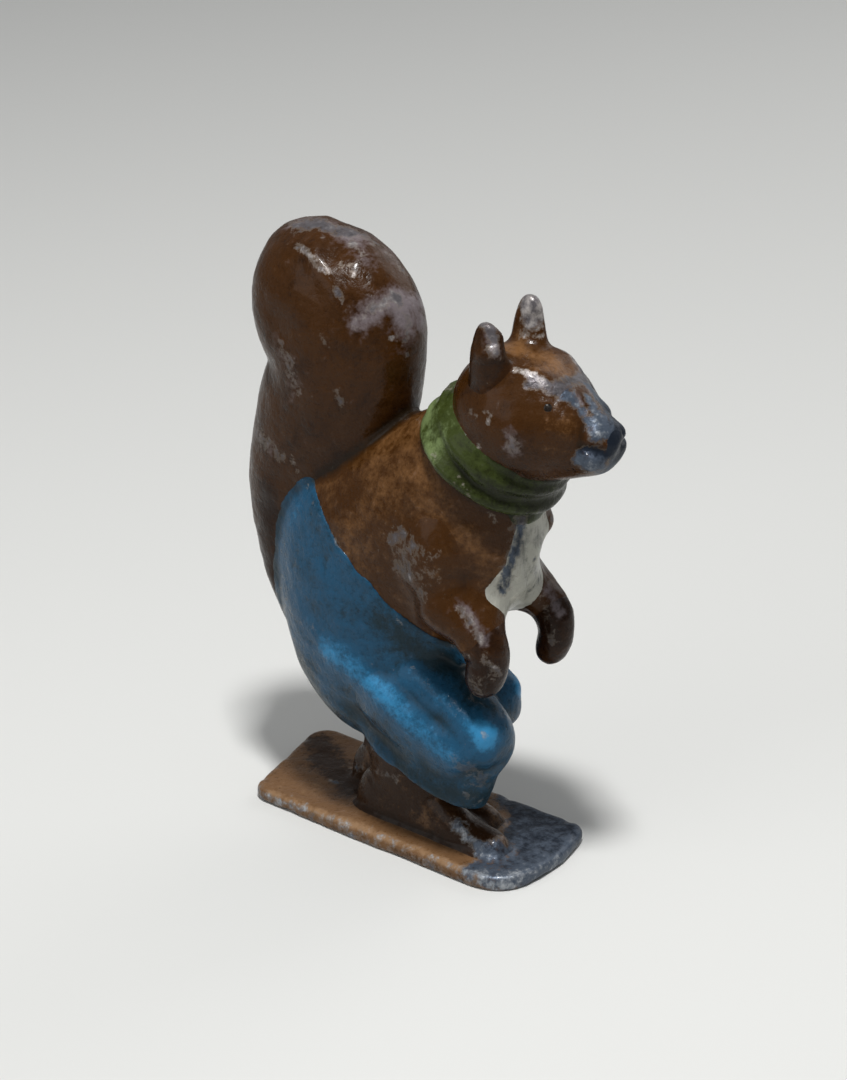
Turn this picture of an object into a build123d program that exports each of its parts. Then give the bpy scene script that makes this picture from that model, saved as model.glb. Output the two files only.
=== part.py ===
"""A small painted metal squirrel in trousers and a neck scarf, crouched on a flat base plate.

Millimetres. The origin is the middle of the base plate's underside, +Z is up and the squirrel looks
along -Y, so its left is +X. The figure is divided where its forms and its paint colours meet, and
each piece is fitted face to face against the ones that it stands on.
"""

import os
from math import cos, radians, sin

from build123d import *

# Base plate
base_length = 34.5
base_width = 13.9
base_thickness = 1.5
base_back_skew = 3.2
base_front_bow = 1.4
base_back_corner = 2.2
base_right_front_corner = 4.4
base_left_front_corner = 1.6
base_edge_round = 0.5

# Where the figure stands on the plate, from the plate's middle
figure_shift_right = 0.65
figure_lead = 2.55

# Hind feet, lying flat on the plate
foot_length = 17.0
foot_half_width = 1.9
foot_height = 4.9
foot_spread = 1.75
foot_lead = 2.2
stride = 3.6
ankle_half_width = 1.6
ankle_half_depth = 4.4
ankle_setback = 3.0
toe_slot_width = 0.35
toe_slot_length = 2.6
toe_slot_floor = 0.6

# Seat of the trousers and trunk, one swelling form along a bent spine
trunk_half_width = 7.0
trunk_half_depth = 12.6
hip_setback = 5.0
hip_rise = 10.8
seat_lead = 1.6
seat_drop = 7.3
waist_lead = 1.4
waist_rise = 11.0
chest_lead = 8.1
chest_rise = 7.6
neck_lead = 2.9
neck_rise = 5.1
neck_stub_lead = 2.2
neck_stub_rise = 3.3
trunk_tilt = 35.0
waist_tilt = 41.0
waist_lift = 1.0

# Trouser legs
thigh_half_width = 3.7
thigh_half_depth = 5.6
thigh_spread = 2.9
knee_lead = 16.0
knee_drop = 5.1
shin_half_width = 3.1
shin_half_depth = 7.2
shin_lead = 9.8
shin_setback = 2.6
cuff_rise = 2.2

# Pale shirt front between the arms
shirt_half_width = 3.2
shirt_height = 10.5
shirt_depth = 4.4

# Scarf round the neck
scarf_half_width = 6.8
scarf_half_depth = 7.1
scarf_band = 4.0
scarf_lead = 0.5
scarf_lift = 0.8

# Head
head_half_width = 6.0
head_half_height = 5.9
head_length = 15.4
head_droop = 9.0
head_lead = 2.2
head_lift = 5.2
jaw_thickness = 1.9
nose_radius = 1.2
nose_sink = 0.7
nose_lift = 0.7
eye_radius = 0.8
eye_angle = 46.0
eye_sink = 0.35
eye_setback = 0.7
left_ear_height = 6.8
right_ear_height = 6.2
ear_half_width = 1.75
ear_half_thickness = 1.25
left_ear_spread = 2.0
right_ear_spread = 3.7
ear_splay = 0.35

# Arms and drooping paws
upper_arm_radius = 3.2
forearm_radius = 2.6
wrist_radius = 1.95
shoulder_sink = 3.4
shoulder_lead = 0.8
elbow_drop = 7.8
elbow_flare = 1.6
left_forearm_reach = 5.9
right_forearm_reach = 4.9
forearm_drop = 3.1
forearm_turn_in = 0.7
paw_length = 5.4
paw_curl = 0.5
paw_tuck = 0.9

# Tail
tail_half_width = 6.2
tail_half_depth = 8.4
tail_height = 39.5
tail_reach = 7.0
tail_root_setback = 3.0
tail_root_drop = 1.5

# Where features of the head and tail stand along their spines, how far out towards the surface,
# and how thick each arm is
muzzle_share = 0.70
eye_wide_share = 0.81
eye_high_share = 0.82
ear_along_share = 0.30
ear_sink_share = 0.45
left_arm_girth_share = 0.85
right_arm_girth_share = 1.00
tail_split_share = 0.38

# Shapes of the swelling forms: where each section stands along its spine, then its size across the
# figure and its size square to that, as shares of the form's own half sizes.
foot_shares = [
    (0.00, 0.45, 0.45),
    (0.06, 0.75, 0.78),
    (0.20, 0.95, 1.00),
    (0.45, 0.95, 1.00),
    (0.68, 1.00, 0.62),
    (0.85, 1.00, 0.42),
    (0.95, 0.85, 0.34),
    (1.00, 0.55, 0.22),
]
trunk_shares = [
    (0.00, 0.50, 0.46),
    (0.05, 0.72, 0.62),
    (0.12, 0.86, 0.73),
    (0.20, 0.94, 0.80),
    (0.35, 1.00, 0.90),
    (0.48, 1.00, 0.97),
    (0.61, 1.00, 0.92),
    (0.73, 0.95, 0.77),
    (0.80, 0.88, 0.65),
    (0.86, 0.82, 0.54),
    (0.93, 0.76, 0.46),
    (1.00, 0.72, 0.42),
]
trunk_tilt_shares = [0.05, 0.07, 0.10, 0.15, 0.35, 0.55, 0.75, 0.90, 0.95, 1.00, 1.00, 1.00]
ankle_shares = [
    (0.00, 1.00, 1.00),
    (1.00, 0.95, 0.95),
]
thigh_shares = [
    (0.00, 0.70, 0.75),
    (0.20, 0.95, 0.98),
    (0.45, 1.00, 1.00),
    (0.70, 0.98, 0.88),
    (0.86, 0.90, 0.72),
    (0.96, 0.66, 0.50),
    (1.00, 0.42, 0.30),
]
shin_shares = [
    (0.00, 0.80, 0.70),
    (0.30, 0.98, 0.94),
    (0.65, 1.00, 1.00),
    (1.00, 1.00, 0.98),
]
scarf_shares = [
    (0.00, 0.94, 0.95),
    (0.12, 1.00, 1.00),
    (0.30, 0.98, 0.98),
    (0.45, 0.92, 0.92),
    (0.60, 0.95, 0.94),
    (0.85, 0.93, 0.92),
    (1.00, 0.86, 0.85),
]
head_shares = [
    (0.00, 0.50, 0.50),
    (0.08, 0.72, 0.72),
    (0.20, 0.90, 0.90),
    (0.38, 1.00, 0.99),
    (0.52, 0.97, 0.95),
    (0.66, 0.80, 0.81),
    (0.78, 0.60, 0.65),
    (0.88, 0.47, 0.51),
    (0.96, 0.36, 0.38),
    (1.00, 0.22, 0.24),
]
ear_shares = [
    (0.00, 1.00, 1.00),
    (0.35, 1.00, 1.00),
    (0.65, 0.82, 0.85),
    (0.85, 0.60, 0.65),
    (0.96, 0.38, 0.42),
    (1.00, 0.20, 0.22),
]
upper_arm_shares = [
    (0.00, 0.45, 0.45),
    (0.10, 0.85, 0.85),
    (0.30, 1.00, 1.00),
    (0.70, 0.97, 0.97),
    (0.90, 0.80, 0.80),
    (1.00, 0.45, 0.45),
]
forearm_shares = [
    (0.00, 0.80, 0.80),
    (0.12, 0.98, 0.98),
    (0.35, 1.00, 1.00),
    (0.70, 0.88, 0.88),
    (1.00, 0.76, 0.76),
]
paw_shares = [
    (0.00, 0.95, 0.95),
    (0.30, 0.98, 0.98),
    (0.60, 0.95, 0.95),
    (0.85, 0.80, 0.80),
    (0.96, 0.55, 0.55),
    (1.00, 0.32, 0.32),
]
tail_shares = [
    (0.00, 0.40, 0.26),
    (0.13, 0.56, 0.40),
    (0.26, 0.66, 0.50),
    (0.44, 0.80, 0.65),
    (0.60, 0.92, 0.90),
    (0.77, 1.00, 1.00),
    (0.88, 0.94, 0.93),
    (0.94, 0.76, 0.74),
    (0.98, 0.50, 0.48),
    (1.00, 0.24, 0.24),
]

# The tail's spine: how far behind its root, as a share of its reach, and how far up.
tail_spine_shares = [
    (0.00, 0.00),
    (0.66, 0.09),
    (0.91, 0.21),
    (0.98, 0.41),
    (0.44, 0.61),
    (0.12, 0.77),
    (0.58, 0.90),
    (1.30, 1.00),
]


def place(side, forward, height):
    """A point by how far it lies to the squirrel's left, ahead of the middle and above the ground."""
    return Vector(side, -forward, height)


def section_plane(spine, along):
    """The plane square to a spine, with its X axis across the figure."""
    heading = spine % along
    across = Vector(1, 0, 0)
    across = (across - heading * across.dot(heading)).normalized()
    return Plane(origin=spine @ along, x_dir=across, z_dir=heading)


def round_sections(spine, shares, half_width, half_depth):
    """The ellipses of a swelling form, each square to the spine."""
    sections = []
    for along, wide_share, deep_share in shares:
        with BuildSketch(section_plane(spine, along)) as section:
            Ellipse(half_width * wide_share, half_depth * deep_share)
        sections.append(section.sketch)
    return sections


def leaning(tilt):
    """The heading that leans ahead from upright by an angle."""
    return place(0, sin(radians(tilt)), cos(radians(tilt)))


def straight(start, end):
    """A straight spine."""
    with BuildLine() as spine:
        Line(start, end)
    return spine.edge()


def bent(*points):
    """A smooth spine through points."""
    with BuildLine() as spine:
        Spline(*points)
    return spine.edge()


# Landmarks, each measured from the one that carries it
ankle_level = base_thickness + foot_height
stand = place(-figure_shift_right, figure_lead, base_thickness)
hip = stand + place(0, -hip_setback, foot_height + hip_rise)
seat_bottom = hip + place(0, seat_lead, -seat_drop)
waist = hip + place(0, waist_lead, waist_rise)
chest = waist + place(0, chest_lead, chest_rise)
neck = chest + place(0, neck_lead, neck_rise)
neck_stub = neck + place(0, neck_stub_lead, neck_stub_rise)
neck_heading = (neck_stub - chest).normalized()
tail_root = hip + place(0, -tail_root_setback, -tail_root_drop)

head_heading = place(0, cos(radians(head_droop)), -sin(radians(head_droop)))
head_back = neck + place(0, -head_lead, head_lift)
head_tip = head_back + head_heading * head_length

trunk_spine = bent(seat_bottom, hip, waist, chest, neck, neck_stub)
head_spine = straight(head_back, head_tip)
tail_spine = bent(*[
    tail_root + place(0, -tail_reach * back_share, tail_height * up_share)
    for back_share, up_share in tail_spine_shares
])

base_top = Plane.XY.offset(base_thickness)
middle = Plane.YZ.offset(-figure_shift_right)
waist_plane = Plane(
    origin=waist + place(0, 0, waist_lift), x_dir=(1, 0, 0), z_dir=leaning(waist_tilt)
)
own_side = {"left": Keep.TOP, "right": Keep.BOTTOM}
sign = {"left": 1, "right": -1}
step_back = {"left": stride, "right": 0}
ear_spread = {"left": left_ear_spread, "right": right_ear_spread}
ear_height = {"left": left_ear_height, "right": right_ear_height}
forearm_reach = {"left": left_forearm_reach, "right": right_forearm_reach}
arm_girth_shares = {"left": left_arm_girth_share, "right": right_arm_girth_share}
pieces = {}

# Base plate: straight sides, a back edge cut on the skew, a bowed front and rounded corners
half_length = base_length / 2
half_base = base_width / 2
front_corner_reach = half_length - base_front_bow
with BuildPart() as base_plate:
    with BuildSketch() as outline:
        with BuildLine():
            Polyline(
                place(-half_base, front_corner_reach, 0),
                place(-half_base, -half_length + base_back_skew, 0),
                place(half_base, -half_length, 0),
                place(half_base, front_corner_reach, 0),
            )
            ThreePointArc(
                place(half_base, front_corner_reach, 0),
                place(0, half_length, 0),
                place(-half_base, front_corner_reach, 0),
            )
        make_face()
        fillet(outline.vertices().sort_by(Axis.Y)[-2:], base_back_corner)
        for pick, corner_round in ((0, base_right_front_corner), (-1, base_left_front_corner)):
            front_corners = outline.vertices().sort_by(Axis.Y)[:2].sort_by(Axis.X)
            fillet(front_corners[pick], corner_round)
    extrude(amount=base_thickness)
    fillet(base_plate.faces().sort_by(Axis.Z)[-1].edges(), base_edge_round)
pieces["base_plate"] = base_plate

# Trunk: the whole swelling form, which the waistline then parts into trousers and torso
trunk_sections = []
for (along, wide_share, deep_share), tilt_share in zip(trunk_shares, trunk_tilt_shares):
    heading = leaning(trunk_tilt * tilt_share)
    with BuildSketch(Plane(origin=trunk_spine @ along, x_dir=(1, 0, 0), z_dir=heading)) as section:
        Ellipse(trunk_half_width * wide_share, trunk_half_depth * deep_share)
    trunk_sections.append(section.sketch)
with BuildPart() as trunk:
    loft(trunk_sections)

with BuildPart() as trouser_seat:
    add(trunk.part)
    split(bisect_by=waist_plane, keep=Keep.BOTTOM)
pieces["trouser_seat"] = trouser_seat

# Shirt front: the part of the chest inside an upright panel
panel_floor = chest - place(0, 0, shirt_height)
with BuildPart() as shirt_panel:
    with BuildSketch(Plane.XZ.offset(-chest.Y + shirt_depth)):
        with Locations((panel_floor.X, panel_floor.Z)):
            Rectangle(2 * shirt_half_width, 2 * shirt_height, align=(Align.CENTER, Align.MIN))
    extrude(amount=trunk_half_depth + shirt_depth)

with BuildPart() as shirt_front:
    add(trunk.part)
    split(bisect_by=waist_plane, keep=Keep.TOP)
    add(shirt_panel.part, mode=Mode.INTERSECT)
pieces["shirt_front"] = shirt_front

with BuildPart() as torso:
    add(trunk.part)
    split(bisect_by=waist_plane, keep=Keep.TOP)
    add(shirt_panel.part, mode=Mode.SUBTRACT)
pieces["torso"] = torso


def shin_ends(name):
    """The top and the bottom of a shin: inside the thigh, and in the middle of the cuff's opening."""
    thigh_top = hip + place(sign[name] * thigh_spread, -step_back[name], 0)
    shin_top = thigh_top + place(0, shin_lead, 0)
    cuff = Vector(thigh_top.X, shin_top.Y + shin_setback, ankle_level + cuff_rise)
    return shin_top, cuff


def trouser_leg(name):
    """Thigh, knee and shin down to the cuff, against the seat and against the other leg."""
    thigh_top = hip + place(sign[name] * thigh_spread, -step_back[name], 0)
    knee = thigh_top + place(0, knee_lead, -knee_drop)
    with BuildPart() as leg:
        thigh_spine = straight(thigh_top, knee)
        loft(round_sections(thigh_spine, thigh_shares, thigh_half_width, thigh_half_depth))
        shin_spine = straight(*shin_ends(name))
        loft(round_sections(shin_spine, shin_shares, shin_half_width, shin_half_depth))
        split(bisect_by=middle, keep=own_side[name])
        add(trunk.part, mode=Mode.SUBTRACT)
    return leg


def hind_foot(name, leg):
    """A long flat foot with slots between the toes, and an ankle up into its trouser leg."""
    across = sign[name] * foot_spread
    back = foot_lead - foot_length / 2 - step_back[name]
    heel = stand + place(across, back, 0)
    toe = heel + place(0, foot_length, 0)
    slot_pitch = 2 * foot_half_width / 3
    shin_top = shin_ends(name)[0]
    instep = heel + place(0, foot_length / 2 - ankle_setback, 0)
    with BuildPart() as foot:
        loft(round_sections(straight(heel, toe), foot_shares, foot_half_width, foot_height))
        ankle_top = Vector(instep.X, instep.Y, shin_top.Z)
        ankle_spine = straight(instep, ankle_top)
        loft(round_sections(ankle_spine, ankle_shares, ankle_half_width, ankle_half_depth))
        split(bisect_by=base_top, keep=Keep.TOP)
        split(bisect_by=middle, keep=own_side[name])
        with Locations(toe + place(0, 0, toe_slot_floor)):
            with GridLocations(slot_pitch, 0, 2, 1):
                Box(
                    toe_slot_width,
                    2 * toe_slot_length,
                    foot_height,
                    align=(Align.CENTER, Align.CENTER, Align.MIN),
                    mode=Mode.SUBTRACT,
                )
        add(leg.part, mode=Mode.SUBTRACT)
        add(trunk.part, mode=Mode.SUBTRACT)
    return foot


for name in ("left", "right"):
    leg = trouser_leg(name)
    pieces[f"{name}_trouser_leg"] = leg
    pieces[f"{name}_foot"] = hind_foot(name, leg)

# Head: one form along the head's spine, parted into skull, muzzle and lower jaw
muzzle_plane = section_plane(head_spine, muzzle_share)
mouth = head_spine @ muzzle_share - place(0, 0, jaw_thickness)
mouth_plane = Plane(origin=mouth, x_dir=(1, 0, 0), z_dir=(0, 0, 1))
with BuildPart() as whole_head:
    loft(round_sections(head_spine, head_shares, head_half_width, head_half_height))
    add(trunk.part, mode=Mode.SUBTRACT)


def eye_place(name):
    """A point on the skull's surface, up and out from the head's spine."""
    out = (head_half_width * eye_wide_share - eye_sink) * cos(radians(eye_angle))
    up = (head_half_height * eye_high_share - eye_sink) * sin(radians(eye_angle))
    return head_spine @ muzzle_share + place(sign[name] * out, -eye_setback, up)


# Each eyeball is turned so that its seam lies inside the skull
seam_turn = {"left": 180.0, "right": 0.0}
for name in ("left", "right"):
    with BuildPart() as eye:
        with Locations(eye_place(name)):
            Sphere(eye_radius, rotation=(0, 0, seam_turn[name]))
    pieces[f"{name}_eye"] = eye

nose_place = head_tip + place(0, -nose_sink, nose_lift)
with BuildPart() as nose:
    with Locations(nose_place):
        Sphere(nose_radius)
pieces["nose"] = nose

with BuildPart() as head:
    add(whole_head.part)
    split(bisect_by=muzzle_plane, keep=Keep.BOTTOM)
    for name in ("left", "right"):
        add(pieces[f"{name}_eye"].part, mode=Mode.SUBTRACT)
pieces["head"] = head

with BuildPart() as muzzle:
    add(whole_head.part)
    split(bisect_by=muzzle_plane, keep=Keep.TOP)
    split(bisect_by=mouth_plane, keep=Keep.TOP)
    add(nose.part, mode=Mode.SUBTRACT)
pieces["muzzle"] = muzzle

with BuildPart() as lower_jaw:
    add(whole_head.part)
    split(bisect_by=muzzle_plane, keep=Keep.TOP)
    split(bisect_by=mouth_plane, keep=Keep.BOTTOM)
    add(nose.part, mode=Mode.SUBTRACT)
pieces["lower_jaw"] = lower_jaw

for name in ("left", "right"):
    ear_rise = head_half_height * ear_sink_share
    ear_foot = head_spine @ ear_along_share + place(sign[name] * ear_spread[name], 0, ear_rise)
    ear_tip = ear_foot + place(sign[name] * ear_splay, 0, ear_height[name])
    with BuildPart() as ear:
        ear_spine = straight(ear_foot, ear_tip)
        loft(round_sections(ear_spine, ear_shares, ear_half_thickness, ear_half_width))
        add(whole_head.part, mode=Mode.SUBTRACT)
    pieces[f"{name}_ear"] = ear

# Scarf: a ring of cloth with two folds, round the neck and under the back of the head
with BuildPart() as scarf:
    half_band = neck_heading * (scarf_band / 2)
    scarf_middle = neck + neck_heading * scarf_lift + place(0, scarf_lead, 0)
    scarf_spine = straight(scarf_middle - half_band, scarf_middle + half_band)
    loft(round_sections(scarf_spine, scarf_shares, scarf_half_width, scarf_half_depth))
    add(trunk.part, mode=Mode.SUBTRACT)
    add(whole_head.part, mode=Mode.SUBTRACT)
pieces["scarf"] = scarf

# Arms held forward with the paws drooping from the wrists
for name in ("left", "right"):
    out = sign[name]
    girth = arm_girth_shares[name]
    shoulder = chest + place(out * (trunk_half_width - shoulder_sink), shoulder_lead, 0)
    elbow = shoulder + place(out * elbow_flare, 0, -elbow_drop)
    wrist = elbow + place(-out * forearm_turn_in, forearm_reach[name], -forearm_drop)
    knuckles = wrist + place(0, paw_curl, -paw_length / 2)
    paw_end = wrist + place(0, -paw_tuck, -paw_length)
    with BuildPart() as arm:
        upper_spine = straight(shoulder, elbow)
        loft(round_sections(upper_spine, upper_arm_shares, upper_arm_radius, upper_arm_radius))
        fore_spine = straight(elbow, wrist)
        fore_girth = forearm_radius * girth
        loft(round_sections(fore_spine, forearm_shares, fore_girth, fore_girth))
        add(trunk.part, mode=Mode.SUBTRACT)
        add(scarf.part, mode=Mode.SUBTRACT)
        add(pieces[f"{name}_trouser_leg"].part, mode=Mode.SUBTRACT)
    pieces[f"{name}_arm"] = arm
    with BuildPart() as paw:
        paw_spine = bent(wrist, knuckles, paw_end)
        loft(round_sections(paw_spine, paw_shares, wrist_radius * girth, wrist_radius * girth))
        add(arm.part, mode=Mode.SUBTRACT)
        add(pieces[f"{name}_trouser_leg"].part, mode=Mode.SUBTRACT)
    pieces[f"{name}_paw"] = paw

# Tail: up along the rump, then swelling into a thick plume behind the head
tail_plane = section_plane(tail_spine, tail_split_share)
with BuildPart() as tail:
    loft(round_sections(tail_spine, tail_shares, tail_half_width, tail_half_depth))
    add(trunk.part, mode=Mode.SUBTRACT)
    add(scarf.part, mode=Mode.SUBTRACT)

with BuildPart() as tail_stem:
    add(tail.part)
    split(bisect_by=tail_plane, keep=Keep.BOTTOM)
pieces["tail_stem"] = tail_stem

with BuildPart() as tail_plume:
    add(tail.part)
    split(bisect_by=tail_plane, keep=Keep.TOP)
pieces["tail_plume"] = tail_plume

os.makedirs("parts", exist_ok=True)
for name, piece in pieces.items():
    piece.part.label = name
    export_step(piece.part, f"parts/{name}.step")
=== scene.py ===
from math import cos, radians, sin

import bpy
import numpy as np
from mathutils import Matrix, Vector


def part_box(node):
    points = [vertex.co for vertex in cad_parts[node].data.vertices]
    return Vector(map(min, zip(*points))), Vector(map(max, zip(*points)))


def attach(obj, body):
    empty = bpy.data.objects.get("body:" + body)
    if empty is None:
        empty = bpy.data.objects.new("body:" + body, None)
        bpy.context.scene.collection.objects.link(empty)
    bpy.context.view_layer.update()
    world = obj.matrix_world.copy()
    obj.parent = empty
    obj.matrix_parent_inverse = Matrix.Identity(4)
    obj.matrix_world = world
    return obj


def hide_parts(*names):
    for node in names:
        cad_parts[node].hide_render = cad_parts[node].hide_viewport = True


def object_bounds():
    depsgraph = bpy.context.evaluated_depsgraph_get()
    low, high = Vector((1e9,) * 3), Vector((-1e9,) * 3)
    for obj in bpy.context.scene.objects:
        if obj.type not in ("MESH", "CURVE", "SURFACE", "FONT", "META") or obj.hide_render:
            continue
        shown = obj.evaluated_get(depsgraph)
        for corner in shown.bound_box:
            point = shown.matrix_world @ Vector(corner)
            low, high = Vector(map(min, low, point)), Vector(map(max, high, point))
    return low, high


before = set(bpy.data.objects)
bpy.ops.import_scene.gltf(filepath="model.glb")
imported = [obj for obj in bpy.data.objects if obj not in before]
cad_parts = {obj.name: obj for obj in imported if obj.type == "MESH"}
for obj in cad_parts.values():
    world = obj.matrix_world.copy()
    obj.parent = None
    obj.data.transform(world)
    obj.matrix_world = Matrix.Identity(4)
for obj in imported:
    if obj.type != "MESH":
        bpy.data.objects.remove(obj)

import openvdb
from mathutils import Matrix, Vector

cad_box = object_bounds()

# The sculpting works in millimetres, and the finished pieces are in metres
mm = 0.001
fine_voxel = 0.20
voxel = fine_voxel

# Reaches: fields round a solid, the grid round them all, the skin, the carved layer, a line of sight
band_width = 3.4
grid_margin = 3.8
skin_depth = 1.4
carved_depth = 1.2
view_depth = 45.0

# Numbers of the helpers: a blur's reach in its own widths, the last grid place, the hills' repeat
blur_reach = 2.5
last_place = 1.001
hill_repeat = 32
tiny = 1e-9

# The camera of the photograph: its frame, where it looks and from which side
photo_width = 847
photo_height = 1080
photo_focal = 2826.0
sensor_size = 36.0
camera_azimuth = -51.5
camera_elevation = 24.0
camera_distance = 260.0
camera_target = np.array([0.80, -1.15, 29.0])

# Landmarks of the figure, as the solids have them
figure_middle = -0.65
leg_stride = 3.6
base_thickness = 1.5
neck = np.array([figure_middle, -10.87, 41.58])
neck_heading = np.array([0.0, -0.519, 0.855])


def seen_from(azimuth, elevation):
    """The directions back to a camera, to its right and up, for a camera that looks at the object."""
    turn = radians(azimuth)
    tilt = radians(elevation)
    back = np.array([sin(turn) * cos(tilt), -cos(turn) * cos(tilt), sin(tilt)])
    right = np.array([cos(turn), sin(turn), 0.0])
    return back, right, np.cross(back, right)


camera_back, camera_right, camera_up = seen_from(camera_azimuth, camera_elevation)
camera_place = camera_target + camera_back * camera_distance

# The grid that all fields share
low = np.floor((np.array(cad_box[0]) / mm - grid_margin) / voxel).astype(int)
high = np.ceil((np.array(cad_box[1]) / mm + grid_margin) / voxel).astype(int)
shape = tuple(int(n) for n in high - low + 1)
axes = [(low[a] + np.arange(shape[a])) * voxel for a in range(3)]
spacing = openvdb.createLinearTransform(voxel)
whole = tuple(slice(0, n) for n in shape)


def window_round(lowest, highest, margin):
    """The part of the grid that holds a box and a margin round it."""
    start = np.maximum(np.floor((lowest - margin) / voxel).astype(int) - low, 0)
    stop = np.minimum(np.ceil((highest + margin) / voxel).astype(int) - low + 1, shape)
    return tuple(slice(int(a), int(b)) for a, b in zip(start, stop))


def corner_of(window):
    """The grid position of a window's first place."""
    return tuple(int(low[a] + window[a].start) for a in range(3))


def places_in(window):
    """Every place of a window, as points in millimetres."""
    grid = np.meshgrid(*[axes[a][window[a]] for a in range(3)], indexing="ij")
    return np.stack([g.ravel() for g in grid], axis=1)


def distances(points, triangles, quads, reach, window):
    """Signed distance from a closed surface over a window, cut off at the reach."""
    grid = openvdb.FloatGrid.createLevelSetFromPolygons(
        points, triangles=triangles, quads=quads, transform=spacing, halfWidth=reach / voxel
    )
    field = np.empty([s.stop - s.start for s in window], np.float32)
    grid.copyToArray(field, ijk=corner_of(window))
    return field


def polygons(field, window, level):
    """The surface of a field at a level, as points and four-sided faces."""
    grid = openvdb.FloatGrid(float(field.max()))
    grid.transform = spacing
    grid.copyFromArray(np.ascontiguousarray(field), ijk=corner_of(window))
    points, triangles, quads = grid.convertToPolygons(isovalue=level, adaptivity=0)
    return points, triangles, quads


def node_distance(name):
    """The window round one of the solids, and the signed distance from it there."""
    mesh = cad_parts[name].data
    mesh.calc_loop_triangles()
    points = np.empty(len(mesh.vertices) * 3, np.float32)
    mesh.vertices.foreach_get("co", points)
    points = points.reshape(-1, 3) / mm
    corners = np.empty(len(mesh.loop_triangles) * 3, np.int32)
    mesh.loop_triangles.foreach_get("vertices", corners)
    corners = corners.reshape(-1, 3).astype(np.uint32)
    window = window_round(points.min(0), points.max(0), band_width)
    return window, distances(points, corners, np.empty((0, 4), np.uint32), band_width, window)


def fill_creases(form, radius):
    """Rounds the inner corners of a form: grows it by the radius, then shrinks it back."""
    points, triangles, quads = polygons(form, whole, radius)
    return distances(points, triangles, quads, radius + skin_depth, whole) + np.float32(radius)


def blur(field, sigma):
    """Softens a field over a distance, along each axis in turn."""
    reach = int(np.ceil(blur_reach * sigma / voxel))
    steps = np.arange(-reach, reach + 1)
    weights = np.exp(-0.5 * (steps * voxel / sigma) ** 2)
    weights /= weights.sum()
    for axis in range(3):
        padded = np.pad(field, [(reach, reach) if a == axis else (0, 0) for a in range(3)], mode="edge")
        out = np.zeros_like(field)
        for step, weight in zip(steps, weights):
            window = [slice(None)] * 3
            window[axis] = slice(reach + step, reach + step + field.shape[axis])
            out += np.float32(weight) * padded[tuple(window)]
        field = out
    return field


def sample(field, points, window=whole):
    """A field's values at points, between the grid's own."""
    at = np.asarray(points) / voxel - corner_of(window)
    at = np.clip(at, 0, np.array(field.shape) - last_place)
    base = at.astype(int)
    part = at - base
    value = np.zeros(len(at))
    for corner in np.ndindex(2, 2, 2):
        weight = np.prod(np.where(corner, part, 1 - part), axis=1)
        i, j, k = (base + corner).T
        value += weight * field[i, j, k]
    return value


def slope(field, points, window=whole):
    """The direction in which a field rises fastest, at points, as a unit vector."""
    rise = [
        sample(field, points + step, window) - sample(field, points - step, window)
        for step in np.eye(3) * voxel
    ]
    rise = np.stack(rise, axis=1)
    return rise / np.maximum(np.linalg.norm(rise, axis=1, keepdims=True), tiny)


def lumps(points, size, seed):
    """Smooth random unevenness between -1 and 1 at points, with hills about one size apart."""
    rng = np.random.default_rng(seed)
    heights = rng.uniform(-1, 1, (hill_repeat, hill_repeat, hill_repeat))
    at = np.asarray(points) / size
    base = np.floor(at).astype(int)
    part = at - base
    part = part * part * (3 - 2 * part)
    value = np.zeros(len(at))
    for corner in np.ndindex(2, 2, 2):
        weight = np.prod(np.where(corner, part, 1 - part), axis=1)
        i, j, k = ((base + corner) % hill_repeat).T
        value += weight * heights[i, j, k]
    return value


# The solids
names = sorted(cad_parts)
own = {name: node_distance(name) for name in names}


def union(pieces):
    """The solids with these names as one form."""
    form = np.full(shape, band_width, np.float32)
    for piece in pieces:
        window, field = own[piece]
        form[window] = np.minimum(form[window], field)
    return form


# The casting: the solids grown together, with rounded inner corners where the photograph shows them
trunk = ("trouser_seat", "torso", "shirt_front")
legs = ("left_trouser_leg", "right_trouser_leg")
feet = ("left_foot", "right_foot")
right_arm = ("right_arm", "right_paw")
left_arm = ("left_arm", "left_paw")
skull = ("head", "muzzle", "lower_jaw", "nose")
ears = ("left_ear", "right_ear")
eyes = ("left_eye", "right_eye")
tail = ("tail_stem", "tail_plume")
corner_radii = [
    (trunk + legs, 1.8),
    (trunk + right_arm, 2.8),
    (trunk + left_arm, 2.2),
    (trunk + tail, 0.4),
    (feet + legs + ("base_plate",), 0.6),
    (skull + ears, 1.1),
    (skull + eyes, 0.2),
    (("scarf", "torso"), 0.15),
    (("scarf", "head", "lower_jaw"), 0.45),
]
casting_softness = 0.22
casting = union(("scarf",))
for group, radius in corner_radii:
    casting = np.minimum(casting, fill_creases(union(group), radius))
casting = blur(casting, casting_softness)


def seen_at(across, down):
    """The place on the casting that shows at a position in the photograph's frame."""
    aim = -camera_back
    aim = aim + camera_right * (across - photo_width / 2) / photo_focal
    aim = aim - camera_up * (down - photo_height / 2) / photo_focal
    reach = camera_distance + np.arange(-view_depth, view_depth, voxel / 2)
    ray = camera_place + reach[:, None] * aim
    depth = sample(casting, ray)
    inside = np.nonzero(depth < 0)[0]
    return ray[inside[0]] if len(inside) else ray[np.argmin(depth)]


def path_at(spots):
    """A path over the places that show at these positions in the photograph's frame."""
    return np.array([seen_at(*spot) for spot in spots])


def mirrored(path, back=0.0):
    """A path on the other side of the figure, moved back by a distance."""
    turned = np.array(path, float)
    turned[:, 0] = 2 * figure_middle - turned[:, 0]
    turned[:, 1] += back
    return turned


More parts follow.
